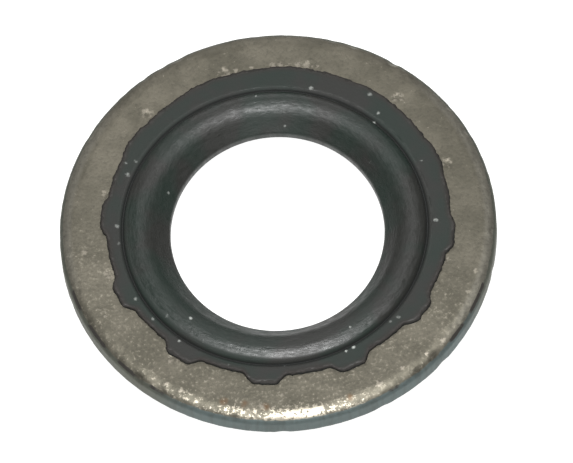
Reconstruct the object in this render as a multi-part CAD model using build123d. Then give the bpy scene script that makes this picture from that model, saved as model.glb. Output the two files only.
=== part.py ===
from build123d import *
import os
from math import acos, cos, degrees, radians, sin, sqrt, tan

# Bonded sealing washer: a flat steel ring with a rubber seal moulded into its hole.
# Millimetres, +Z up. The origin is the centre of the hole on the ring's middle plane.
# Both faces are alike, so the washer can be fitted either way up.
# Sizes run outwards: the pipe sets the lip, the bead stands round the lip, and the
# steel ring stands round the bead.

# ---- Rubber seal: the bead that seals against both flanges and against the pipe ----
lip_diameter = 12.85         # the seal's hole, at the inner tip of the bead
lip_land = 0.3               # the tip's short straight wall, which the pipe passes through
lip_rounding = 0.3           # above and below it the tip is a rounded nose
crest_from_lip = 1.765       # across the bead, from its tip to its highest line
crest_rounding = 1.5
crest_above_ring = 0.48      # on each face
bead_side_rounding = 0.38    # where the broad crest turns down into the groove ...
side_angle = 24.0            # ... which starts where the crest has this slope
groove_below_ring = 0.1      # the narrow crease between the bead and the skirt
groove_rounding = 0.08

# ---- Steel ring: blanked from strip and tumbled ----
ring_from_crest = 1.31       # rubber between the bead's crest and the steel
ring_width = 3.5
ring_thickness = 1.8
rim_roll_width = 1.0         # the outer rims roll over gently, wider than they are deep
rim_roll_depth = 0.5
hole_rim_rounding = 0.2

# ---- Rubber seal: the thin skirt that laps onto each face of the ring ----
skirt_lap = 0.77             # between the lobes, measured from the ring's hole
skirt_thickness = 0.2
shoulder_rounding = 0.12     # where the skirt's top turns down into the groove
skirt_run_out = 0.3          # the ring sat this far off the mould's centre ...
run_out_angle = 80.0         # ... so the skirt is wider in this direction

# ---- Rubber seal: the lobes around the skirt's outline ----
lobe_count = 12
lobe_reach = 0.3             # beyond the skirt where it has its mean width
lobe_tip_width = 1.7
lobe_flank_width = 0.4       # the sloping side of a lobe, seen from above
lobe_corner_rounding = 0.3
first_lobe_angle = 21.0
least_lobe_step = 0.06       # the lobes nearly vanish where the skirt is widest

crest_radius = lip_diameter / 2 + crest_from_lip
ring_hole_radius = crest_radius + ring_from_crest
skirt_radius = ring_hole_radius + skirt_lap
lobe_tip_radius = skirt_radius + lobe_reach
ring_face = ring_thickness / 2
skirt_top = ring_face + skirt_thickness


def polar(radius, angle):
    """A point in the XY plane, the angle in degrees from +X."""
    return Vector(radius * cos(radians(angle)), radius * sin(radians(angle)))


def make_ring():
    """The steel ring: one blanked piece, with its rims rolled over by tumbling."""
    outside_radius = ring_hole_radius + ring_width
    roll_width = min(rim_roll_width, 0.45 * ring_width)
    roll_depth = min(rim_roll_depth, 0.45 * ring_thickness)
    hole_corner = Vector(ring_hole_radius, ring_face)
    roll_start = Vector(outside_radius - roll_width, ring_face)
    roll_end = Vector(outside_radius, ring_face - roll_depth)
    half = Curve() + [
        Line(hole_corner, roll_start),
        EllipticalCenterArc((roll_start.X, roll_end.Y), roll_width, roll_depth, 0, arc_size=90),
    ]
    wall = Line(roll_end, (roll_end.X, -roll_end.Y))
    hole = Line(hole_corner, (hole_corner.X, -hole_corner.Y))
    section = make_face(half + wall + mirror(half, Plane.XZ) + hole)
    hole_rounding = min(hole_rim_rounding, 0.45 * ring_thickness)
    section = fillet(section.vertices().sort_by(Axis.X)[:2], hole_rounding)
    return revolve(Plane.XZ * section, Axis.Z)


def section_arcs():
    """The five arcs in the upper half of the seal's section, as centre and radius.

    They are the tip's nose, the crest, the bead's outer side, the groove and the skirt's
    shoulder. From the crest on they run smoothly into each other, so each centre follows
    from the one before it.
    """
    nose = Vector(lip_diameter / 2 + lip_rounding, lip_land / 2)
    crest_size = max(crest_rounding, 1.1 * bead_side_rounding)
    crest = Vector(crest_radius, ring_face + crest_above_ring - crest_size)
    side = crest + Vector(0, crest_size - bead_side_rounding).rotate(Axis.Z, -side_angle)
    groove_height = ring_face - groove_below_ring + groove_rounding
    reach = bead_side_rounding + groove_rounding
    groove = Vector(side.X + sqrt(reach**2 - (groove_height - side.Y) ** 2), groove_height)
    shoulder_height = skirt_top - shoulder_rounding
    reach = groove_rounding + shoulder_rounding
    shoulder = Vector(groove.X + sqrt(reach**2 - (groove.Y - shoulder_height) ** 2), shoulder_height)
    centres = nose, crest, side, groove, shoulder
    sizes = lip_rounding, crest_size, bead_side_rounding, groove_rounding, shoulder_rounding
    return list(zip(centres, sizes))


def root_radius():
    """Where the bead's section ends inside the skirt, clear of groove and outline."""
    shoulder, rounding = section_arcs()[-1]
    return (max(ring_hole_radius, shoulder.X) + skirt_radius - skirt_run_out) / 2


def arc_about(centre, size, start, end):
    """The shorter arc about a centre between two points that lie on its circle."""
    halfway = ((start - centre).normalized() + (end - centre).normalized()).normalized()
    return ThreePointArc(start, centre + halfway * size, end)


def make_bead():
    """The ring of rubber inside the hole: sealing bead, groove and root of the skirt."""
    arcs = section_arcs()
    (nose, nose_size), (crest, crest_size), (side, side_size) = arcs[:3]
    (groove, groove_size), (shoulder, shoulder_size) = arcs[3:]
    tip = nose - Vector(nose_size, 0)
    to_nose = nose - crest
    swing = acos((crest_size - nose_size) / to_nose.length)
    flank_normal = to_nose.rotate(Axis.Z, -degrees(swing)).normalized()
    flank_low = nose + flank_normal * nose_size
    flank_high = crest + flank_normal * crest_size
    crest_end = crest + (side - crest).normalized() * crest_size
    side_end = side + (groove - side).normalized() * side_size
    groove_end = groove + (shoulder - groove).normalized() * groove_size
    shoulder_top = shoulder + Vector(0, shoulder_size)
    root_top = Vector(root_radius(), skirt_top)
    land = Line(tip, (tip.X, -tip.Y))
    half = Curve() + [
        arc_about(nose, nose_size, tip, flank_low),
        Line(flank_low, flank_high),
        arc_about(crest, crest_size, flank_high, crest_end),
        arc_about(side, side_size, crest_end, side_end),
        arc_about(groove, groove_size, side_end, groove_end),
        arc_about(shoulder, shoulder_size, groove_end, shoulder_top),
        Line(shoulder_top, root_top),
    ]
    root = Line(root_top, (root_top.X, -root_top.Y))
    section = make_face(half + root + mirror(half, Plane.XZ) + land)
    return revolve(Plane.XZ * section, Axis.Z)


def skirt_corners():
    """Corners of the skirt's outline, each with the largest rounding that it may have.

    Each lobe has a corner in the middle of the gap before it, which is rounded as far
    as the gap allows, and then two at each flank.
    """
    pitch = 360 / lobe_count
    tip_half = degrees(lobe_tip_width / 2 / lobe_tip_radius)
    base_half = tip_half + degrees(lobe_flank_width / lobe_tip_radius)

    def gap_edge(angle):
        return skirt_radius + skirt_run_out * cos(radians(angle - run_out_angle))

    def tip_edge(angle):
        return max(lobe_tip_radius, gap_edge(angle) + least_lobe_step)

    flanks = [(-base_half, gap_edge), (-tip_half, tip_edge), (tip_half, tip_edge), (base_half, gap_edge)]
    corners = []
    for number in range(lobe_count):
        middle = first_lobe_angle + number * pitch
        gap_middle = middle - pitch / 2
        corners.append((polar(gap_edge(gap_middle), gap_middle), skirt_radius))
        for turn, edge in flanks:
            corners.append((polar(edge(middle + turn), middle + turn), lobe_corner_rounding))
    return corners


def skirt_outline():
    """The skirt's lobed outline: short straight runs joined by tangent arcs."""
    corners = skirt_corners()
    roundings = []
    for number, (corner, largest) in enumerate(corners):
        before = corners[number - 1][0] - corner
        after = corners[(number + 1) % len(corners)][0] - corner
        half_turn = radians(180 - before.get_angle(after)) / 2
        room = 0.45 * min(before.length, after.length)
        roundings.append(min(largest, room / tan(half_turn)))
    return FilletPolyline([corner for corner, largest in corners], radius=roundings, close=True)


def make_skirt():
    """The upper skirt: a thin lobed disc of rubber lying on the ring's top face."""
    disc = Pos(0, 0, ring_face) * extrude(make_face(skirt_outline()), skirt_thickness)
    return disc - Cylinder(root_radius(), 2 * skirt_top)


def make_seal(ring):
    """The moulded seal: it fills the ring's hole edge and laps onto both faces."""
    skirt = make_skirt()
    return make_bead() + skirt + mirror(skirt, Plane.XY) - ring


os.makedirs("parts", exist_ok=True)
steel_ring = make_ring()
rubber_seal = make_seal(steel_ring)
export_step(steel_ring, "parts/steel_ring.step")
export_step(rubber_seal, "parts/rubber_seal.step")
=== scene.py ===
import math
import random

import bpy
from mathutils import Matrix, Vector, kdtree


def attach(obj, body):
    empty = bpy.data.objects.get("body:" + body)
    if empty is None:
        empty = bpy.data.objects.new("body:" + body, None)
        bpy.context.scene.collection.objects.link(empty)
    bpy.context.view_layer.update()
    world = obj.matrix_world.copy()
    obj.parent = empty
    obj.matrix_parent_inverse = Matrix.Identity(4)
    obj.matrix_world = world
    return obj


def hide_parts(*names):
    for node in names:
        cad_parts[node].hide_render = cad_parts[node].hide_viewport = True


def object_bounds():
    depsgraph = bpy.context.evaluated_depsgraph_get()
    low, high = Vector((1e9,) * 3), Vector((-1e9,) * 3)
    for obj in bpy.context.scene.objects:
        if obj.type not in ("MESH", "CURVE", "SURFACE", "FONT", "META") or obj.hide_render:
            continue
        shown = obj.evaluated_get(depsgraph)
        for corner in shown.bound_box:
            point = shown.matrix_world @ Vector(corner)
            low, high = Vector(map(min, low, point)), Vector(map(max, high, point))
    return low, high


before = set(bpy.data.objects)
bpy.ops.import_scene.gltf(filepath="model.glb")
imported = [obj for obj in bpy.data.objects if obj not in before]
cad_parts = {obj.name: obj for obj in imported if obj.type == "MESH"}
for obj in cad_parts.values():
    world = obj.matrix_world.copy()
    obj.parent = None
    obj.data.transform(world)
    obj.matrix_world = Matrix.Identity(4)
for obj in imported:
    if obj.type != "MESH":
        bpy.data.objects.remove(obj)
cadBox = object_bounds()
print("frame loaded:", sorted(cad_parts))

mm = 0.001


def toLinear(code):
    # "#rrggbb" is sRGB, and the nodes take linear colours
    def channel(text):
        value = int(text, 16) / 255
        return value / 12.92 if value <= 0.04045 else ((value + 0.055) / 1.055) ** 2.4
    return tuple(channel(code[place:place + 2]) for place in (1, 3, 5)) + (1.0,)


def addNode(tree, kind, settings=None, links=None):
    # one node with its settings, its input values and what is linked into it
    node = tree.nodes.new(kind)
    for key, value in (settings or {}).items():
        if key == "stops":
            ramp = node.color_ramp
            while len(ramp.elements) < len(value):
                ramp.elements.new(0.5)
            for element, (place, colour) in zip(ramp.elements, value):
                element.position = place
                element.color = colour if isinstance(colour, tuple) else (colour, colour, colour, 1)
        elif isinstance(key, int) or key in node.inputs:
            node.inputs[key].default_value = value
        else:
            setattr(node, key, value)
    for key, source in (links or {}).items():
        tree.links.new(source, node.inputs[key])
    return node


def startMaterial(name):
    material = bpy.data.materials.new(name)
    material.use_nodes = True
    material.node_tree.nodes.clear()
    return material, material.node_tree


def selectNothing():
    if bpy.context.object and bpy.context.object.mode != "OBJECT":
        bpy.ops.object.mode_set(mode="OBJECT")
    bpy.ops.object.select_all(action="DESELECT")


def makeActive(piece):
    selectNothing()
    piece.select_set(True)
    bpy.context.view_layer.objects.active = piece


def arcPoints(centre, across, up, start, end, count):
    # points along a round or oval corner of a section, angles in degrees
    points = []
    for step in range(count + 1):
        angle = math.radians(start + (end - start) * step / count)
        points.append((centre[0] + across * math.cos(angle), centre[1] + up * math.sin(angle)))
    return points


def linePoints(start, end, count):
    # evenly spaced points after start, the last one at end
    return [(start[0] + (end[0] - start[0]) * step / count,
             start[1] + (end[1] - start[1]) * step / count) for step in range(1, count + 1)]


def spinSection(name, section, steps):
    # draws a closed section in the XZ plane, radius and height in mm, and spins it round Z
    samePoint = 0.002 * mm
    selectNothing()
    radius, height = section[0]
    bpy.ops.mesh.primitive_plane_add(size=mm, location=(radius * mm, 0, height * mm))
    piece = bpy.context.object
    piece.name = piece.data.name = name
    bpy.ops.object.transform_apply(location=True, rotation=True, scale=True)
    bpy.ops.object.mode_set(mode="EDIT")
    bpy.ops.mesh.select_all(action="SELECT")
    bpy.ops.mesh.merge(type="CENTER")
    for last, point in zip(section, section[1:] + section[:1]):
        leg = ((point[0] - last[0]) * mm, 0, (point[1] - last[1]) * mm)
        bpy.ops.mesh.extrude_region_move(TRANSFORM_OT_translate={"value": leg})
    bpy.ops.mesh.select_all(action="SELECT")
    bpy.ops.mesh.remove_doubles(threshold=samePoint)
    bpy.ops.mesh.spin(steps=steps, angle=2 * math.pi, center=(0, 0, 0), axis=(0, 0, 1))
    bpy.ops.mesh.select_all(action="SELECT")
    bpy.ops.mesh.remove_doubles(threshold=samePoint)
    bpy.ops.mesh.normals_make_consistent(inside=False)
    bpy.ops.object.mode_set(mode="OBJECT")
    return piece


def groupWhere(piece, name, weightOf):
    # a vertex group from a rule on each vertex's radius, angle and height, in mm and degrees
    group = piece.vertex_groups.new(name=name)
    for vertex in piece.data.vertices:
        x, y, z = vertex.co / mm
        weight = weightOf(math.hypot(x, y), math.degrees(math.atan2(y, x)) % 360, z)
        if weight > 0:
            group.add([vertex.index], min(weight, 1.0), "REPLACE")
    return group.name


def roughen(piece, group, size, depth):
    # presses a fine procedural unevenness into one group of the piece and applies it
    texture = bpy.data.textures.new(piece.name + "_" + group, "CLOUDS")
    texture.noise_scale = size * mm
    makeActive(piece)
    push = piece.modifiers.new("unevenness", "DISPLACE")
    push.texture = texture
    push.texture_coords = "LOCAL"
    push.vertex_group = group
    push.mid_level = 0.5
    push.strength = depth * mm
    bpy.ops.object.modifier_apply(modifier=push.name)


def onPiece(angle, radius, height):
    # a place in metres from an angle in degrees and a radius and height in mm
    turn = math.radians(angle)
    return Vector((radius * math.cos(turn), radius * math.sin(turn), height)) * mm


def vertexTree(piece):
    tree = kdtree.KDTree(len(piece.data.vertices))
    for vertex in piece.data.vertices:
        tree.insert(vertex.co, vertex.index)
    tree.balance()
    return tree


def pressDents(piece, dents):
    # each dent is a place, a push and a width: its nearest vertex is pushed, its neighbours follow
    tree = vertexTree(piece)
    nearest = [tree.find(place)[1] for place, push, width in dents]
    makeActive(piece)
    for number, (place, push, width) in zip(nearest, dents):
        bpy.ops.object.mode_set(mode="EDIT")
        bpy.ops.mesh.select_all(action="DESELECT")
        bpy.ops.object.mode_set(mode="OBJECT")
        piece.data.vertices[number].select = True
        bpy.ops.object.mode_set(mode="EDIT")
        bpy.ops.transform.translate(value=push, use_proportional_edit=True,
                                    proportional_edit_falloff="SMOOTH",
                                    proportional_size=width / 2 * mm)
    bpy.ops.object.mode_set(mode="OBJECT")


def paintMarks(piece, name, marks):
    # a painted value from 0 to 1: each mark is a place, a radius in mm and its strength in the middle
    tree = vertexTree(piece)
    paint = [0.0] * len(piece.data.vertices)
    for place, size, strength in marks:
        for spot, number, away in tree.find_range(place, size * mm):
            paint[number] = max(paint[number], (size - away / mm) / size * strength)
    piece.data.attributes.new(name, "FLOAT", "POINT").data.foreach_set("value", paint)


def paintWhere(piece, name, valueOf):
    # a painted value from a rule on each vertex's radius, angle and height, in mm and degrees
    paint = []
    for vertex in piece.data.vertices:
        x, y, z = vertex.co / mm
        paint.append(valueOf(math.hypot(x, y), math.degrees(math.atan2(y, x)) % 360, z))
    piece.data.attributes.new(name, "FLOAT", "POINT").data.foreach_set("value", paint)


def smoothStep(value, low, high):
    share = min(max((value - low) / (high - low), 0.0), 1.0)
    return share * share * (3 - 2 * share)


ringValues = {
    "holeRadius": 9.5,
    "outerRadius": 13.0,
    "face": 0.9,            # half the thickness
    "rollWidth": 1.0,       # the tumbled rims
    "rollDepth": 0.5,
    "holeRounding": 0.2,
    "steps": 600,
    # tumbling has bruised the rims, from the first of these radii and in full from the second
    "bruisedFrom": 12.0, "bruisedTo": 12.35,
    "bruiseDepth": 0.035, "bruiseWidth": 0.45,
    # and nicked them: the nicks lie this far in from the wall and down from the face
    "nickIn": 0.12, "nickDown": 0.22,
    "nickCount": 46, "nickDepth": 0.07, "nickDepthSpread": (0.3, 1.0),
    "nickWidth": 0.8, "nickWidthSpread": (0.6, 1.6),
    "seed": 5,
    "undersideTurn": 120,   # the marks underneath are the same ones, turned by this much
    # where the mould's pins held the ring, beside the lobes: angle, radius
    "pinMarks": [(17, 10.8), (45, 11.05), (76, 10.8), (103, 10.8), (131, 10.9),
                 (162.5, 10.4), (192, 10.4), (230, 10.65), (342, 10.15)],
    "pinMarkSize": 0.42, "pinMarkDepth": 0.025,
    # a mark is a broken ring of bare patches: their size, which is also how far out they lie, as a
    # share of the mark's, the degrees from one to the next, and how bare they are
    "patchCount": 5, "patchShare": 0.6, "patchPitch": 58, "patchStrength": (0.55, 1.0),
    # small knocks that show bright metal, and painted glints: angle, radius
    "knocksAndGlints": [(73, 10.9), (76, 10.85), (79, 10.85), (82, 10.8), (84.5, 10.8), (87, 10.75),
               (94, 10.75), (99, 10.75), (183, 11.6), (205, 11.8), (233, 12.3), (237.5, 12.2),
               (240, 12.55), (243, 12.5), (261, 12.0), (267, 11.2), (273, 10.15), (295, 12.2),
               (303, 12.1), (311, 12.35), (317, 12.5), (333, 12.2), (340, 12.2), (316, 10.4)],
    "knockAndGlintSizes": (0.2, 0.26, 0.32),
    "knockAndGlintDown": 0.05,      # their middles lie under the face, so that they also reach the rolled rim
    "stains": [(250, 12.0), (256, 11.95), (262, 12.0), (286, 12.2)],
    "stainSize": 0.45,
    # wear and painted light that lie in stretches of the ring: the first and last angle of each and how
    # much of it there is, the degrees over which its ends fade, the radii over which it comes in and
    # goes out, and how far it is turned underneath
    "stretches": {
        # the outer rim is rubbed bright, and painted brighter still as the highlight on the near side
        "rubbed": {"where": [(262, 279, 0.68), (249, 290, 0.42), (234, 249, 0.32), (222, 234, 0.16),
                             (290, 316, 0.07)],
                   "fade": 3, "comesIn": (11.4, 12.6), "turn": 120},
        # a painted shadow line lies low on the rims, under the roll
        "grimy": {"where": [(193, 200, 1), (204, 213, 1), (217, 226, 1), (229, 234, 0.8),
                            (296, 300, 0.8), (318, 325, 1), (328, 338, 1)],
                  "fade": 1.5, "comesIn": (12.68, 12.78), "goesOut": (12.88, 12.97), "turn": 120},
        # the rims are painted paler on the left and right, standing in for light from the sides
        "worn": {"where": [(-38, 42, 1), (42, 140, 0.15), (140, 190, 1), (322, 398, 1)],
                 "fade": 10, "comesIn": (12.15, 12.55), "turn": 120},
        # painted glints: fine bright flecks on the near half of the face, where the grain catches the light
        "scuffed": {"where": [(178, 335, 1)], "fade": 12, "turn": 120},
        # the wall is dull on one side, blue-grey there as a painted cast of the light, and plated like the
        # rest on the other
        "sheared": {"where": [(236, 330, 1)], "fade": 9, "turn": 0},
    },
}


def bothSides(places, turn):
    # each place on the upper face as it is, and once more on the lower face, turned
    upper = [(angle, radius, 1) for angle, radius in places]
    return upper + [(angle + turn, radius, -1) for angle, radius in places]


def paintStretches(piece, name, wear):
    # paints one kind of mark that lies in stretches, wear and painted light alike
    def shareAt(radius, angle, height):
        if height <= 0:
            angle = (angle - wear["turn"]) % 360
        share = 0.0
        for first, last, strength in wear["where"]:
            into = smoothStep(angle, first - wear["fade"], first + wear["fade"])
            past = smoothStep(angle, last - wear["fade"], last + wear["fade"])
            share = max(share, into * (1 - past) * strength)
        if "comesIn" in wear:
            share *= smoothStep(radius, *wear["comesIn"])
        if "goesOut" in wear:
            share *= 1 - smoothStep(radius, *wear["goesOut"])
        return share
    paintWhere(piece, name, shareAt)


def markSteelRingWithWearAndLight(ring, values):
    face, turn = values["face"], values["undersideTurn"]
    dice = random.Random(values["seed"])
    pinMarks = bothSides(values["pinMarks"], turn)
    dents = []
    for angle, radius, side in pinMarks:
        push = (0, 0, -side * values["pinMarkDepth"] * mm)
        dents.append((onPiece(angle, radius, side * face), push, 2 * values["pinMarkSize"]))
    nickRadius, nickHeight = values["outerRadius"] - values["nickIn"], face - values["nickDown"]
    for number in range(values["nickCount"]):
        angle = dice.uniform(0, 360)
        side = dice.choice((-1, 1))
        inwards = -onPiece(angle, 1, side).normalized()
        push = inwards * dice.uniform(*values["nickDepthSpread"]) * values["nickDepth"] * mm
        width = values["nickWidth"] * dice.uniform(*values["nickWidthSpread"])
        dents.append((onPiece(angle, nickRadius, side * nickHeight), push, width))
    pressDents(ring, dents)
    marks = []
    patchSize = values["patchShare"] * values["pinMarkSize"]
    for angle, radius, side in pinMarks:
        start = dice.uniform(0, 360)
        for number in range(values["patchCount"]):
            out = onPiece(start + values["patchPitch"] * number, patchSize, 0)
            strength = dice.uniform(*values["patchStrength"])
            marks.append((onPiece(angle, radius, side * face) + out, patchSize, strength))
    sizes = values["knockAndGlintSizes"]
    for number, (angle, radius, side) in enumerate(bothSides(values["knocksAndGlints"], turn)):
        place = onPiece(angle, radius, side * (face - values["knockAndGlintDown"]))
        marks.append((place, sizes[number % len(sizes)], 1))
    paintMarks(ring, "knocked", marks)
    paintMarks(ring, "stained", [(onPiece(angle, radius, side * face), values["stainSize"], 1)
                                 for angle, radius, side in bothSides(values["stains"], turn)])
    for name, wear in values["stretches"].items():
        paintStretches(ring, name, wear)


def makeSteelRing(values):
    inner, outer, face = values["holeRadius"], values["outerRadius"], values["face"]
    width, depth, small = values["rollWidth"], values["rollDepth"], values["holeRounding"]
    upper = arcPoints((inner + small, face - small), small, small, 180, 90, 3)
    upper += linePoints(upper[-1], (outer - width, face), 22)
    upper += arcPoints((outer - width, face - depth), width, depth, 90, 0, 16)[1:]
    wall = linePoints(upper[-1], (outer, depth - face), 5)[:-1]
    lower = [(radius, -height) for radius, height in reversed(upper)]
    bore = linePoints(lower[-1], upper[0], 3)[:-1]
    ring = spinSection("steelRing", upper + wall + lower + bore, values["steps"])
    rim = groupWhere(ring, "rim", lambda radius, angle, height:
                     smoothStep(radius, values["bruisedFrom"], values["bruisedTo"]))
    roughen(ring, rim, values["bruiseWidth"], values["bruiseDepth"])
    return ring


steelRing = makeSteelRing(ringValues)
markSteelRingWithWearAndLight(steelRing, ringValues)
print("steel ring:", len(steelRing.data.polygons), "faces")


sealValues = {
    "lipRadius": 6.425, "lipLand": 0.3, "noseRounding": 0.3,
    "crestRadius": 8.19, "crestTop": 1.38, "crestRounding": 1.5,
    "sideRounding": 0.42, "sideAngle": 24.0,        # the crest's outer side, down into the groove
    "grooveFloor": 0.94, "grooveRounding": 0.04,
    "shoulderRounding": 0.24,
    "skirtRadius": 10.27, "skirtTop": 1.1,
    "ringFace": 0.9, "ringHole": 9.5,
    "edgeRounding": 0.12,
    "edgeDip": 0.01,                # the skirt's edge dips into the steel, so that no light shows under it
    "runOut": 0.3, "runOutAngle": 80.0,
    "lobeCount": 12, "firstLobe": 21.0,
    "lobeTip": 10.57, "tipWidth": 1.7, "flankWidth": 0.4, "leastStep": 0.06, "lobeRounding": 0.2,
    "lipStretch": (-0.06, 0.09),    # the soft lip is a little out of round, across and along
    "lipShift": (0.07, -0.04),
    "beadStretch": (0.0, 0.05),
    "beadShift": (-0.12, -0.02),    # the bead was moulded a little off the ring's centre,
    "creaseShift": (-0.06, -0.12),  # and the crease round it a little more
    # the lip's part in this ends at the first of these radii and the bead's at the second, and the
    # crease's comes in from the third to the fourth
    "lipTo": 7.6, "beadTo": 9.8, "creaseFrom": 8.5, "creaseFull": 8.9,
    # the skirt's edge is wavy, in coarse waves and fine ones
    "edgeWobble": 0.13, "edgeWobbleWidths": (0.5, 0.2),
    # how far in from the edge the waviness, and the thin browner flash, begin and are full
    "wavyMargin": (0.2, 0.05), "flashMargin": (0.5, 0.05),
    "steps": 660,
    "undersideTurn": 120,
    # pale dust caught on the rubber, bright specks and fainter smudges: angle, radius, size, strength
    "dust": [(294, 9.4, 0.17, 1), (291, 9.4, 0.12, 1), (154, 9.6, 0.26, 0.55), (155, 6.9, 0.13, 0.9),
             (175, 9.6, 0.26, 0.55), (182, 9.5, 0.2, 0.5), (205, 9.7, 0.2, 0.55), (215, 9.6, 0.16, 0.7),
             (226, 8.1, 0.16, 0.9), (228, 9.6, 0.16, 0.8), (45, 8.85, 0.2, 0.7), (46, 9.5, 0.16, 0.6),
             (53, 10.2, 0.26, 0.55), (73, 9.3, 0.22, 0.8), (94, 8.6, 0.12, 0.9), (82, 6.8, 0.12, 0.8),
             (21, 9.5, 0.16, 0.5), (314, 9.55, 0.22, 0.5), (356, 9.4, 0.2, 0.8), (268, 9.4, 0.12, 0.6),
             (297, 8.25, 0.14, 0.7), (311, 9.4, 0.14, 0.6), (148, 9.5, 0.22, 0.45),
             (33, 6.9, 0.12, 0.6), (248, 9.7, 0.12, 0.6), (218, 8.9, 0.2, 0.4), (236, 8.9, 0.2, 0.4),
             (150, 10.0, 0.22, 0.4)],
}


def skirtEdge(angle, values):
    # how far the skirt reaches at an angle: a circle set off the ring's centre, plus the lobes
    gap = values["skirtRadius"] + values["runOut"] * math.cos(math.radians(angle - values["runOutAngle"]))
    tip = max(values["lobeTip"], gap + values["leastStep"])
    pitch = 360 / values["lobeCount"]
    away = abs((angle - values["firstLobe"] + pitch / 2) % pitch - pitch / 2)
    along = math.radians(away) * values["lobeTip"]
    tipHalf = values["tipWidth"] / 2
    soft = values["lobeRounding"]
    share = 1 - smoothStep(along, tipHalf - soft, tipHalf + values["flankWidth"] + soft)
    return gap + (tip - gap) * share


def insideEdge(values, margin):
    # a rule that rises from 0 to 1 towards the skirt's edge, over a margin inside it
    def shareAt(radius, angle, height):
        edge = skirtEdge(angle, values)
        return smoothStep(radius, edge - margin[0], edge - margin[1])
    return shareAt


def slopeOf(fromPoint, toPoint):
    return math.degrees(math.atan2(toPoint[1] - fromPoint[1], toPoint[0] - fromPoint[0]))


def sealSection(values):
    # the upper half of the section as tangent arcs: nose, crest, side, groove and shoulder
    noseSize = values["noseRounding"]
    nose = Vector((values["lipRadius"] + noseSize, values["lipLand"] / 2))
    crestSize, sideSize = values["crestRounding"], values["sideRounding"]
    crest = Vector((values["crestRadius"], values["crestTop"] - crestSize))
    lean = math.radians(values["sideAngle"])
    side = crest + Vector((math.sin(lean), math.cos(lean))) * (crestSize - sideSize)
    grooveSize, shoulderSize = values["grooveRounding"], values["shoulderRounding"]
    grooveHeight = values["grooveFloor"] + grooveSize
    reach = math.sqrt((sideSize + grooveSize) ** 2 - (grooveHeight - side.y) ** 2)
    groove = Vector((side.x + reach, grooveHeight))
    shoulderHeight = values["skirtTop"] - shoulderSize
    reach = math.sqrt((grooveSize + shoulderSize) ** 2 - (grooveHeight - shoulderHeight) ** 2)
    shoulder = Vector((groove.x + reach, shoulderHeight))
    swing = math.degrees(math.acos((crestSize - noseSize) / (nose - crest).length))
    flank = slopeOf(crest, nose) % 360 - swing
    sideFall, rise = slopeOf(side, groove), slopeOf(groove, shoulder)
    points = arcPoints(nose, noseSize, noseSize, 180, flank, 6)
    crestArc = arcPoints(crest, crestSize, crestSize, flank, 90 - values["sideAngle"], 26)
    points += linePoints(points[-1], crestArc[0], 5)[:-1] + crestArc
    points += arcPoints(side, sideSize, sideSize, 90 - values["sideAngle"], sideFall, 8)[1:]
    points += arcPoints(groove, grooveSize, grooveSize, sideFall + 180, 360 + rise, 6)[1:]
    points += arcPoints(shoulder, shoulderSize, shoulderSize, 180 + rise, 90, 4)[1:]
    return points


def makeRubberSeal(values):
    edge, top, small = values["skirtRadius"], values["skirtTop"], values["edgeRounding"]
    foot = values["ringFace"] - values["edgeDip"]
    section = sealSection(values)
    start = section[-1][0]
    edgeArc = arcPoints((edge - small, top - small), small, small, 90, 0, 3)
    upper = section + linePoints(section[-1], edgeArc[0], 8)[:-1] + edgeArc
    upper += linePoints(edgeArc[-1], (edge, foot), 2)
    upper += linePoints((edge, foot), (values["ringHole"], foot), 2)
    lower = [(radius, -height) for radius, height in reversed(upper)]
    root = linePoints(upper[-1], lower[0], 3)[:-1]
    land = linePoints(lower[-1], upper[0], 2)[:-1]
    seal = spinSection("rubberSeal", upper + root + lower + land, values["steps"])
    for vertex in seal.data.vertices:
        x, y, z = vertex.co / mm
        radius = math.hypot(x, y)
        # the skirt's edge is carried out to its lobed outline, the rubber behind it stretching with it
        if radius > start:
            reach = skirtEdge(math.degrees(math.atan2(y, x)), values)
            moved = start + (radius - start) * (reach - start) / (edge - start)
            vertex.co.x *= moved / radius
            vertex.co.y *= moved / radius
        # and lip, bead and crease are shifted and stretched a little out of true
        lip = 1 - smoothStep(radius, values["lipRadius"], values["lipTo"])
        bead = 1 - smoothStep(radius, start, values["beadTo"])
        crease = bead * smoothStep(radius, values["creaseFrom"], values["creaseFull"])
        for axis in (0, 1):
            stretch = values["lipStretch"][axis] * lip + values["beadStretch"][axis] * bead
            shift = (values["lipShift"][axis] * lip + values["beadShift"][axis] * bead
                     + values["creaseShift"][axis] * crease)
            vertex.co[axis] *= 1 + stretch / radius
            vertex.co[axis] += shift * mm
    skirt = groupWhere(seal, "skirtEdge", insideEdge(values, values["wavyMargin"]))
    for width in values["edgeWobbleWidths"]:
        roughen(seal, skirt, width, values["edgeWobble"])
    return seal


def dustRubberSeal(seal, values):
    marks = []
    for angle, radius, size, strength in values["dust"]:
        for side, turn in ((1, 0), (-1, values["undersideTurn"])):
            # let go 3 mm off the middle, the speck lands on whatever height the seal has there
            letGo = onPiece(angle + turn, radius, side * 3)
            landed, spot = seal.ray_cast(letGo, (0, 0, -side))[:2]
            if landed:
                marks.append((spot, size, strength))
    paintMarks(seal, "dusty", marks)
    paintWhere(seal, "thinning", insideEdge(values, values["flashMargin"]))


rubberSeal = makeRubberSeal(sealValues)
dustRubberSeal(rubberSeal, sealValues)
print("rubber seal:", len(rubberSeal.data.polygons), "faces")


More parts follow.
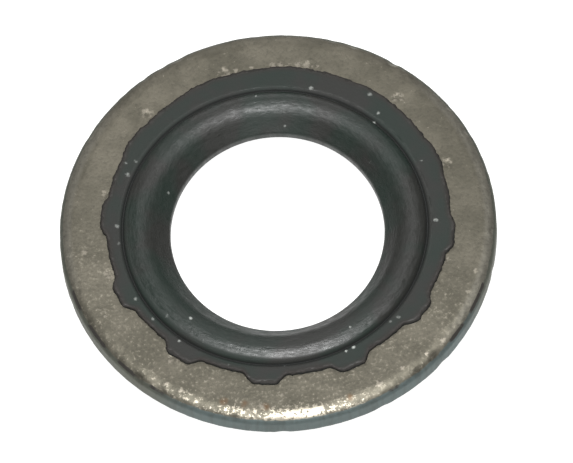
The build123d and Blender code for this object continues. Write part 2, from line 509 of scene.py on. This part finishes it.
steelLook = {
    "plating": "#6f6b60", "platingDull": "#5f5c52", "platingPits": "#474540",
    # the rims' paler colour is painted light from the sides
    "worn": "#807d73",          # the rims
    # painted glint on the grain
    "paintedGlint": "#a09a8c",
    "stain": "#6e5741",
    # rubbed metal, painted brighter as the rim's highlight
    "rubbed": "#958f82",        # the rubbed stretch of the rim
    # bright metal, and painted glints
    "bareAndGlint": "#928c80",          # small knocks, down to the metal
    # blue-grey as a painted cast of the light
    "sheared": "#626c6b",       # the outer wall, dull and blue-grey ...
    "shearedPlated": "#5f6159", # ... or plated over
    # painted shadow under the rolled rim
    "rimShadow": "#26231f",
    "roughness": 0.5, "bareRoughness": 0.4, "shearedRoughness": 0.62,
    "roughnessSpread": 0.06,
    # the patterns: scale, which is one over the size in metres, and detail
    "blotch": (420, 3),         # slow changes in the plating, 2.4 mm
    "mottle": (1600, 3),        # quicker ones, 0.6 mm
    "grain": (5200, 2),         # left by rolling and tumbling, 0.2 mm
    "scores": (2600, 2),        # of the blanking die, 0.4 mm apart and drawn out up the wall
    "scoreSquash": 0.15,
    # the sheared wall starts on the steep part of the roll, at a line that is this ragged
    "wallFrom": 12.86, "wallFull": 12.92, "wallRagged": 0.16,
    "reliefDepth": 0.03,
}


def addPolar(tree, place):
    # the distance from the hole's axis, the way there in the flat, and the height
    parts = addNode(tree, "ShaderNodeSeparateXYZ", {}, {0: place})
    flat = addNode(tree, "ShaderNodeCombineXYZ", {}, {"X": parts.outputs["X"], "Y": parts.outputs["Y"]})
    radius = addNode(tree, "ShaderNodeVectorMath", {"operation": "LENGTH"}, {0: flat.outputs["Vector"]})
    return {"radius": radius.outputs["Value"], "flat": flat.outputs["Vector"], "height": parts.outputs["Z"]}


def makeSteelMaterial(look):
    # cold-rolled steel strip, blanked, zinc plated and tumbled: an even olive grey with a fine grain,
    # brighter where it has been rubbed and painted brighter as the rim's highlight, and dull on the sheared
    # wall with a painted blue-grey cast of the light
    material, tree = startMaterial("zincPlatedSteelTumbled")
    place = addNode(tree, "ShaderNodeTexCoord").outputs["Object"]
    radius = addPolar(tree, place)["radius"]
    painted = {}
    for name in ("worn", "scuffed", "stained", "rubbed", "knocked", "sheared", "grimy"):
        painted[name] = addNode(tree, "ShaderNodeAttribute", {"attribute_name": name}).outputs["Fac"]
    squashed = addNode(tree, "ShaderNodeVectorMath",
                       {"operation": "MULTIPLY", 1: (1.0, 1.0, look["scoreSquash"])}, {0: place})
    noise = {}
    for name in ("blotch", "mottle", "grain", "scores"):
        scale, detail = look[name]
        where = squashed.outputs["Vector"] if name == "scores" else place
        pattern = addNode(tree, "ShaderNodeTexNoise", {"Scale": scale, "Detail": detail, "Roughness": 0.6},
                          {"Vector": where})
        noise[name] = pattern.outputs["Fac"]
    face = addNode(tree, "ShaderNodeValToRGB",
                   {"stops": [(0.38, toLinear(look["platingDull"])), (0.62, toLinear(look["plating"]))]},
                   {"Fac": noise["blotch"]})
    # the grain's low spots are dark pits, and its high ones painted glints, bright flecks on the near half
    # where the light catches the grain
    pits = addNode(tree, "ShaderNodeMapRange", {"From Min": 0.5, "From Max": 0.25, "To Max": 0.4},
                   {"Value": noise["grain"]})
    glintTops = addNode(tree, "ShaderNodeMapRange", {"From Min": 0.56, "From Max": 0.74, "To Max": 0.5},
                        {"Value": noise["grain"]})
    paintedGlints = addNode(tree, "ShaderNodeMath", {"operation": "MULTIPLY"},
                     {0: glintTops.outputs["Result"], 1: painted["scuffed"]})
    # stains, ragged at the edge
    stainPatch = addNode(tree, "ShaderNodeMath", {"operation": "MULTIPLY"},
                         {0: painted["stained"], 1: noise["mottle"]})
    stains = addNode(tree, "ShaderNodeMapRange", {"From Min": 0.15, "From Max": 0.5, "To Max": 0.8},
                     {"Value": stainPatch.outputs["Value"]})
    # the rubbed stretch is cleaner and painted brighter as the rim's highlight, and the knocks show bare
    # metal and painted glints, both broken up by the grain
    raggedRubAndHighlight = addNode(tree, "ShaderNodeMath", {"operation": "MULTIPLY_ADD", 1: 2.0},
                        {0: noise["grain"], 2: painted["rubbed"]})
    rubAndHighlight = addNode(tree, "ShaderNodeMapRange", {"From Min": 1.42, "From Max": 1.6},
                  {"Value": raggedRubAndHighlight.outputs["Value"]})
    raggedBareAndGlint = addNode(tree, "ShaderNodeMath", {"operation": "MULTIPLY_ADD", 1: 1.6},
                         {0: noise["grain"], 2: painted["knocked"]})
    bareAndGlint = addNode(tree, "ShaderNodeMapRange", {"From Min": 1.1, "From Max": 1.55},
                   {"Value": raggedBareAndGlint.outputs["Value"]})
    # each finish lies over the ones before it, some of them painted light: paler sides, glints and the
    # rim's highlight
    colour = face.outputs["Color"]
    for finish, share in (("worn", painted["worn"]), ("platingPits", pits.outputs["Result"]),
                          ("paintedGlint", paintedGlints.outputs["Value"]), ("stain", stains.outputs["Result"]),
                          ("rubbed", rubAndHighlight.outputs["Result"]), ("bareAndGlint", bareAndGlint.outputs["Result"])):
        layer = addNode(tree, "ShaderNodeMix", {"data_type": "RGBA", 7: toLinear(look[finish])},
                        {0: share, 6: colour})
        colour = layer.outputs[2]
    # the wall has a finish of its own, streaked by the scores
    raggedWall = addNode(tree, "ShaderNodeMath", {"operation": "MULTIPLY_ADD", 1: look["wallRagged"] * mm},
                         {0: noise["mottle"], 2: radius})
    wall = addNode(tree, "ShaderNodeMapRange",
                   {"From Min": look["wallFrom"] * mm, "From Max": look["wallFull"] * mm},
                   {"Value": raggedWall.outputs["Value"]})
    streaks = addNode(tree, "ShaderNodeMapRange",
                      {"From Min": 0.35, "From Max": 0.65, "To Min": 0.25, "To Max": -0.1},
                      {"Value": noise["scores"]})
    # the sheared wall's blue-grey is a painted cast of the light
    wallBase = addNode(tree, "ShaderNodeMix",
                       {"data_type": "RGBA", 6: toLinear(look["shearedPlated"]),
                        7: toLinear(look["sheared"])},
                       {0: painted["sheared"]})
    wallColour = addNode(tree, "ShaderNodeMix", {"data_type": "RGBA", 7: toLinear(look["platingPits"])},
                         {0: streaks.outputs["Result"], 6: wallBase.outputs[2]})
    walled = addNode(tree, "ShaderNodeMix", {"data_type": "RGBA"},
                     {0: wall.outputs["Result"], 6: colour, 7: wallColour.outputs[2]})
    # the painted shadow under the rim lies over everything, in ragged patches
    rimShadowPatch = addNode(tree, "ShaderNodeMath", {"operation": "MULTIPLY"},
                         {0: painted["grimy"], 1: noise["mottle"]})
    rimShadow = addNode(tree, "ShaderNodeMapRange", {"From Min": 0.22, "From Max": 0.42},
                    {"Value": rimShadowPatch.outputs["Value"]})
    rimShadowed = addNode(tree, "ShaderNodeMix", {"data_type": "RGBA", 7: toLinear(look["rimShadow"])},
                     {0: rimShadow.outputs["Result"], 6: walled.outputs[2]})
    # roughness and metal follow the same places
    plated = addNode(tree, "ShaderNodeMapRange",
                     {"From Min": 0.3, "From Max": 0.7,
                      "To Min": look["roughness"] - look["roughnessSpread"],
                      "To Max": look["roughness"] + look["roughnessSpread"]},
                     {"Value": noise["mottle"]})
    smoother = addNode(tree, "ShaderNodeMath", {"operation": "MAXIMUM"},
                       {0: bareAndGlint.outputs["Result"], 1: rubAndHighlight.outputs["Result"]})
    roughBare = addNode(tree, "ShaderNodeMix", {"data_type": "FLOAT", 3: look["bareRoughness"]},
                        {0: smoother.outputs["Value"], 2: plated.outputs["Result"]})
    roughWall = addNode(tree, "ShaderNodeMix", {"data_type": "FLOAT", 3: look["shearedRoughness"]},
                        {0: wall.outputs["Result"], 2: roughBare.outputs[0]})
    # the painted shadow under the rim is also made less metallic
    metal = addNode(tree, "ShaderNodeMapRange", {"To Min": 1.0, "To Max": 0.2},
                    {"Value": rimShadow.outputs["Result"]})
    coarse = addNode(tree, "ShaderNodeBump", {"Strength": 0.2, "Distance": look["reliefDepth"] * mm},
                     {"Height": noise["mottle"]})
    relief = addNode(tree, "ShaderNodeMix", {"data_type": "FLOAT"},
                     {0: wall.outputs["Result"], 2: noise["grain"], 3: noise["scores"]})
    fine = addNode(tree, "ShaderNodeBump", {"Strength": 0.4, "Distance": look["reliefDepth"] * mm},
                   {"Height": relief.outputs[0], "Normal": coarse.outputs["Normal"]})
    shader = addNode(tree, "ShaderNodeBsdfPrincipled", {},
                     {"Base Color": rimShadowed.outputs[2], "Metallic": metal.outputs["Result"],
                      "Roughness": roughWall.outputs[0], "Normal": fine.outputs["Normal"]})
    addNode(tree, "ShaderNodeOutputMaterial", {}, {"Surface": shader.outputs["BSDF"]})
    return material


rubberLook = {
    "black": "#161e19", "blackWarm": "#1c1d1a", "blackGreen": "#121e18",
    "flash": "#1b1611",         # the thin edge of the skirt, browner
    # painted shade in the crease
    "paintedCreaseShade": "#111412",
    "dust": "#c4c8c3",
    "roughness": 0.44, "roughnessSpread": 0.09, "skirtRoughness": 0.38, "mattRoughness": 0.75,
    # the bead is this much duller inside its crest, and as much glossier outside it, and changes
    # over between these radii
    "outerGloss": 0.05, "glossTurn": (8.0, 8.5),
    # the patterns' scales, one over their sizes in metres: the tint's drift, 2.6 mm, the flow lines
    # along the bead, 0.6 mm long and a quarter as wide, and a grain of 0.2 mm
    "driftScale": 380, "flowScale": 1700, "flowSquash": 4.0, "flowRadius": 8.0, "grainScale": 4500,
    "flowDepth": 0.03, "grainDepth": 0.015,
    # where parts of the section begin and are full in mm, by height over the middle plane ...
    # painted shade darkens the crease, below the skirt's top
    "dark": (1.1, 0.99),        # in the crease
    "sunk": (1.0995, 1.096),    # the crease again, from just under the skirt's top
    "proud": (1.1005, 1.115),   # above the skirt's top
    # ... and by radius
    "outside": (8.6, 8.7),      # outside the bead's crest
    "flank": (8.88, 9.04),      # the foot of the bead's outer side
    "skirt": (9.2, 9.3),
}


def makeRubberMaterial(look):
    # nitrile rubber, compression moulded: a satin black with a faint tint that drifts, fine flow
    # lines along the bead, and pale dust that clings to it
    material, tree = startMaterial("mouldedNitrileRubber")
    place = addNode(tree, "ShaderNodeTexCoord").outputs["Object"]
    polar = addPolar(tree, place)
    away = addNode(tree, "ShaderNodeMath", {"operation": "ABSOLUTE"}, {0: polar["height"]}).outputs["Value"]
    mask = {}
    for name in ("dark", "sunk", "proud", "outside", "flank", "skirt"):
        begin, full = look[name]
        source = away if name in ("dark", "sunk", "proud") else polar["radius"]
        part = addNode(tree, "ShaderNodeMapRange", {"From Min": begin * mm, "From Max": full * mm},
                       {"Value": source})
        mask[name] = part.outputs["Result"]
    drift = addNode(tree, "ShaderNodeTexNoise", {"Scale": look["driftScale"], "Detail": 2},
                    {"Vector": place})
    tint = addNode(tree, "ShaderNodeValToRGB",
                   {"stops": [(0.4, toLinear(look["blackGreen"])), (0.5, toLinear(look["black"])),
                              (0.6, toLinear(look["blackWarm"]))]},
                   {"Fac": drift.outputs["Fac"]})
    # the flow lines' pattern is laid round the bead, as if it had the one radius all over, and
    # squashed across it
    around = addNode(tree, "ShaderNodeVectorMath", {"operation": "NORMALIZE"}, {0: polar["flat"]})
    rings = addNode(tree, "ShaderNodeVectorMath", {"operation": "SCALE", "Scale": look["flowRadius"] * mm},
                    {0: around.outputs["Vector"]})
    across = addNode(tree, "ShaderNodeMath", {"operation": "MULTIPLY", 1: look["flowSquash"]},
                     {0: polar["radius"]})
    acrossUp = addNode(tree, "ShaderNodeCombineXYZ", {}, {"Z": across.outputs["Value"]})
    along = addNode(tree, "ShaderNodeVectorMath", {"operation": "ADD"},
                    {0: rings.outputs["Vector"], 1: acrossUp.outputs["Vector"]})
    flow = addNode(tree, "ShaderNodeTexNoise", {"Scale": look["flowScale"], "Detail": 3, "Roughness": 0.6},
                   {"Vector": along.outputs["Vector"]})
    grain = addNode(tree, "ShaderNodeTexNoise",
                    {"Scale": look["grainScale"], "Detail": 2, "Roughness": 0.6}, {"Vector": place})
    # dust, each speck ragged at its edge
    dusty = addNode(tree, "ShaderNodeAttribute", {"attribute_name": "dusty"})
    raggedDust = addNode(tree, "ShaderNodeMath", {"operation": "MULTIPLY_ADD", 1: 0.8},
                         {0: grain.outputs["Fac"], 2: dusty.outputs["Fac"]})
    dust = addNode(tree, "ShaderNodeMapRange", {"From Min": 0.6, "From Max": 1.3, "To Max": 0.75},
                   {"Value": raggedDust.outputs["Value"]})
    thinning = addNode(tree, "ShaderNodeAttribute", {"attribute_name": "thinning"})
    # the crease is darkened as painted shade
    crease = addNode(tree, "ShaderNodeMath", {"operation": "MULTIPLY"},
                     {0: mask["dark"], 1: mask["outside"]})
    # each finish lies over the ones before it, the crease's painted shade among them
    colour = tint.outputs["Color"]
    for finish, share in (("flash", thinning.outputs["Fac"]), ("paintedCreaseShade", crease.outputs["Value"]),
                          ("dust", dust.outputs["Result"])):
        layer = addNode(tree, "ShaderNodeMix", {"data_type": "RGBA", 7: toLinear(look[finish])},
                        {0: share, 6: colour})
        colour = layer.outputs[2]
    # satin on the bead, varied by the flow lines, and smoother on the skirt
    satin = addNode(tree, "ShaderNodeMapRange",
                    {"From Min": 0.35, "From Max": 0.65,
                     "To Min": look["roughness"] - look["roughnessSpread"],
                     "To Max": look["roughness"] + look["roughnessSpread"]},
                    {"Value": flow.outputs["Fac"]})
    duller = addNode(tree, "ShaderNodeMapRange",
                     {"From Min": look["glossTurn"][0] * mm, "From Max": look["glossTurn"][1] * mm,
                      "To Min": look["outerGloss"], "To Max": -look["outerGloss"]},
                     {"Value": polar["radius"]})
    sheen = addNode(tree, "ShaderNodeMath", {"operation": "ADD"},
                    {0: satin.outputs["Result"], 1: duller.outputs["Result"]})
    skirted = addNode(tree, "ShaderNodeMix", {"data_type": "FLOAT", 3: look["skirtRoughness"]},
                      {0: mask["skirt"], 2: sheen.outputs["Value"]})
    # matt in the crease, at the foot of the bead's outer side and on the skirt's very edge
    sunkMatt = addNode(tree, "ShaderNodeMath", {"operation": "MULTIPLY"},
                       {0: mask["sunk"], 1: mask["outside"]})
    flankMatt = addNode(tree, "ShaderNodeMath", {"operation": "MULTIPLY"},
                        {0: mask["flank"], 1: mask["proud"]})
    creaseMatt = addNode(tree, "ShaderNodeMath", {"operation": "MAXIMUM"},
                         {0: sunkMatt.outputs["Value"], 1: flankMatt.outputs["Value"]})
    rim = addNode(tree, "ShaderNodeMapRange", {"From Min": 0.85, "From Max": 0.97},
                  {"Value": thinning.outputs["Fac"]})
    matt = addNode(tree, "ShaderNodeMath", {"operation": "MAXIMUM"},
                   {0: creaseMatt.outputs["Value"], 1: rim.outputs["Result"]})
    rough = addNode(tree, "ShaderNodeMix", {"data_type": "FLOAT", 3: look["mattRoughness"]},
                    {0: matt.outputs["Value"], 2: skirted.outputs[0]})
    # the flow lines hardly show in the skirt's relief
    flowStrength = addNode(tree, "ShaderNodeMapRange", {"To Min": 0.8, "To Max": 0.15},
                           {"Value": mask["skirt"]})
    lines = addNode(tree, "ShaderNodeBump", {"Distance": look["flowDepth"] * mm},
                    {"Height": flow.outputs["Fac"], "Strength": flowStrength.outputs["Result"]})
    relief = addNode(tree, "ShaderNodeBump", {"Strength": 0.4, "Distance": look["grainDepth"] * mm},
                     {"Height": grain.outputs["Fac"], "Normal": lines.outputs["Normal"]})
    shader = addNode(tree, "ShaderNodeBsdfPrincipled", {"IOR": 1.5},
                     {"Base Color": colour, "Roughness": rough.outputs[0],
                      "Normal": relief.outputs["Normal"]})
    addNode(tree, "ShaderNodeOutputMaterial", {}, {"Surface": shader.outputs["BSDF"]})
    return material


def finishPiece(piece, material, nodeName):
    makeActive(piece)
    bpy.ops.object.shade_smooth_by_angle(angle=math.radians(50))
    piece.data.materials.clear()
    piece.data.materials.append(material)
    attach(piece, "root")
    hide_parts(nodeName)


finishPiece(steelRing, makeSteelMaterial(steelLook), "steel_ring")
finishPiece(rubberSeal, makeRubberMaterial(rubberLook), "rubber_seal")
print("materials on")


studio = {
    "floorSize": 2.0,
    "floorColour": "#9a9a98",
    "floorGlow": 0.95,
    "sky": 0.36, "horizon": 0.18,
    # round soft boxes: degrees from straight up towards the camera, metres away, metres across, watts
    "softBoxes": {
        "keyBox": (10.0, 0.5, 0.2, 3.0),
        "fillBox": (56.0, 0.6, 0.4, 0.75),      # low, from the camera's side
        "backBox": (-55.0, 0.6, 0.4, 0.65),     # low, from behind
    },
}


def addSoftBox(name, lean, distance, size, power):
    # a round soft box that looks at the washer, leaning towards the camera
    towards = Vector((0, -math.tan(math.radians(lean)), 1)).normalized()
    selectNothing()
    bpy.ops.object.light_add(type="AREA", location=towards * distance)
    box = bpy.context.object
    box.name = name
    box.data.shape = "DISK"
    box.data.size = size
    box.data.energy = power
    box.rotation_euler = towards.to_track_quat("Z", "Y").to_euler()


def makeStudio(light):
    selectNothing()
    bpy.ops.mesh.primitive_plane_add(size=light["floorSize"], location=(0, 0, cadBox[0].z))
    floor = bpy.context.object
    floor.name = "studioFloor"
    bpy.ops.object.transform_apply(location=True, rotation=True, scale=True)
    material, tree = startMaterial("paintedFloor")
    # matt white paint that glows a little, so that the ground round the washer stays even
    shader = addNode(tree, "ShaderNodeBsdfPrincipled",
                     {"Base Color": toLinear(light["floorColour"]),
                      "Roughness": 0.9, "Specular IOR Level": 0.1,
                      "Emission Color": toLinear("#ffffff"), "Emission Strength": light["floorGlow"]})
    addNode(tree, "ShaderNodeOutputMaterial", {}, {"Surface": shader.outputs["BSDF"]})
    floor.data.materials.append(material)

    world = bpy.data.worlds.new("softRoom")
    bpy.context.scene.world = world
    world.use_nodes = True
    tree = world.node_tree
    tree.nodes.clear()
    direction = addNode(tree, "ShaderNodeTexCoord").outputs["Generated"]
    upward = addNode(tree, "ShaderNodeSeparateXYZ", {}, {0: direction}).outputs["Z"]
    sky, horizon = light["sky"], light["horizon"]
    fade = addNode(tree, "ShaderNodeValToRGB",
                   {"stops": [(0.0, horizon), (0.1, horizon), (0.45, sky), (1.0, sky)]}, {"Fac": upward})
    background = addNode(tree, "ShaderNodeBackground", {"Strength": 1.0}, {"Color": fade.outputs["Color"]})
    addNode(tree, "ShaderNodeOutputWorld", {}, {"Surface": background.outputs["Background"]})

    for name, (lean, distance, size, power) in light["softBoxes"].items():
        addSoftBox(name, lean, distance, size, power)


# angles in degrees and lengths in mm
view = {
    "elevation": 63.0,
    "roll": 5.1,                # the right side sits a little higher
    "distance": 1200,
    "lens": 1267.5,
    "aim": (0.485, 0.076),      # across and up, which puts the washer a little left of the middle
}


def makeCamera(view):
    # back, right and up are the camera's own axes, tilted up from the front and then rolled
    lift, roll = math.radians(view["elevation"]), math.radians(view["roll"])
    back = Vector((0, -math.cos(lift), math.sin(lift)))
    right = Vector((1, 0, 0))
    up = back.cross(right)
    turned = Matrix.Rotation(-roll, 3, back)
    right, up = turned @ right, turned @ up
    across, upwards = view["aim"]
    aim = right * (across * mm) + up * (upwards * mm)
    selectNothing()
    bpy.ops.object.camera_add(location=aim + back * (view["distance"] * mm))
    camera = bpy.context.object
    camera.rotation_euler = Matrix((right, up, back)).transposed().to_euler()
    camera.data.lens = view["lens"]
    camera.data.clip_start = 0.01
    camera.data.clip_end = 10
    bpy.context.scene.camera = camera


makeStudio(studio)
makeCamera(view)
bpy.context.scene.view_settings.view_transform = "Standard"
print("studio ready")
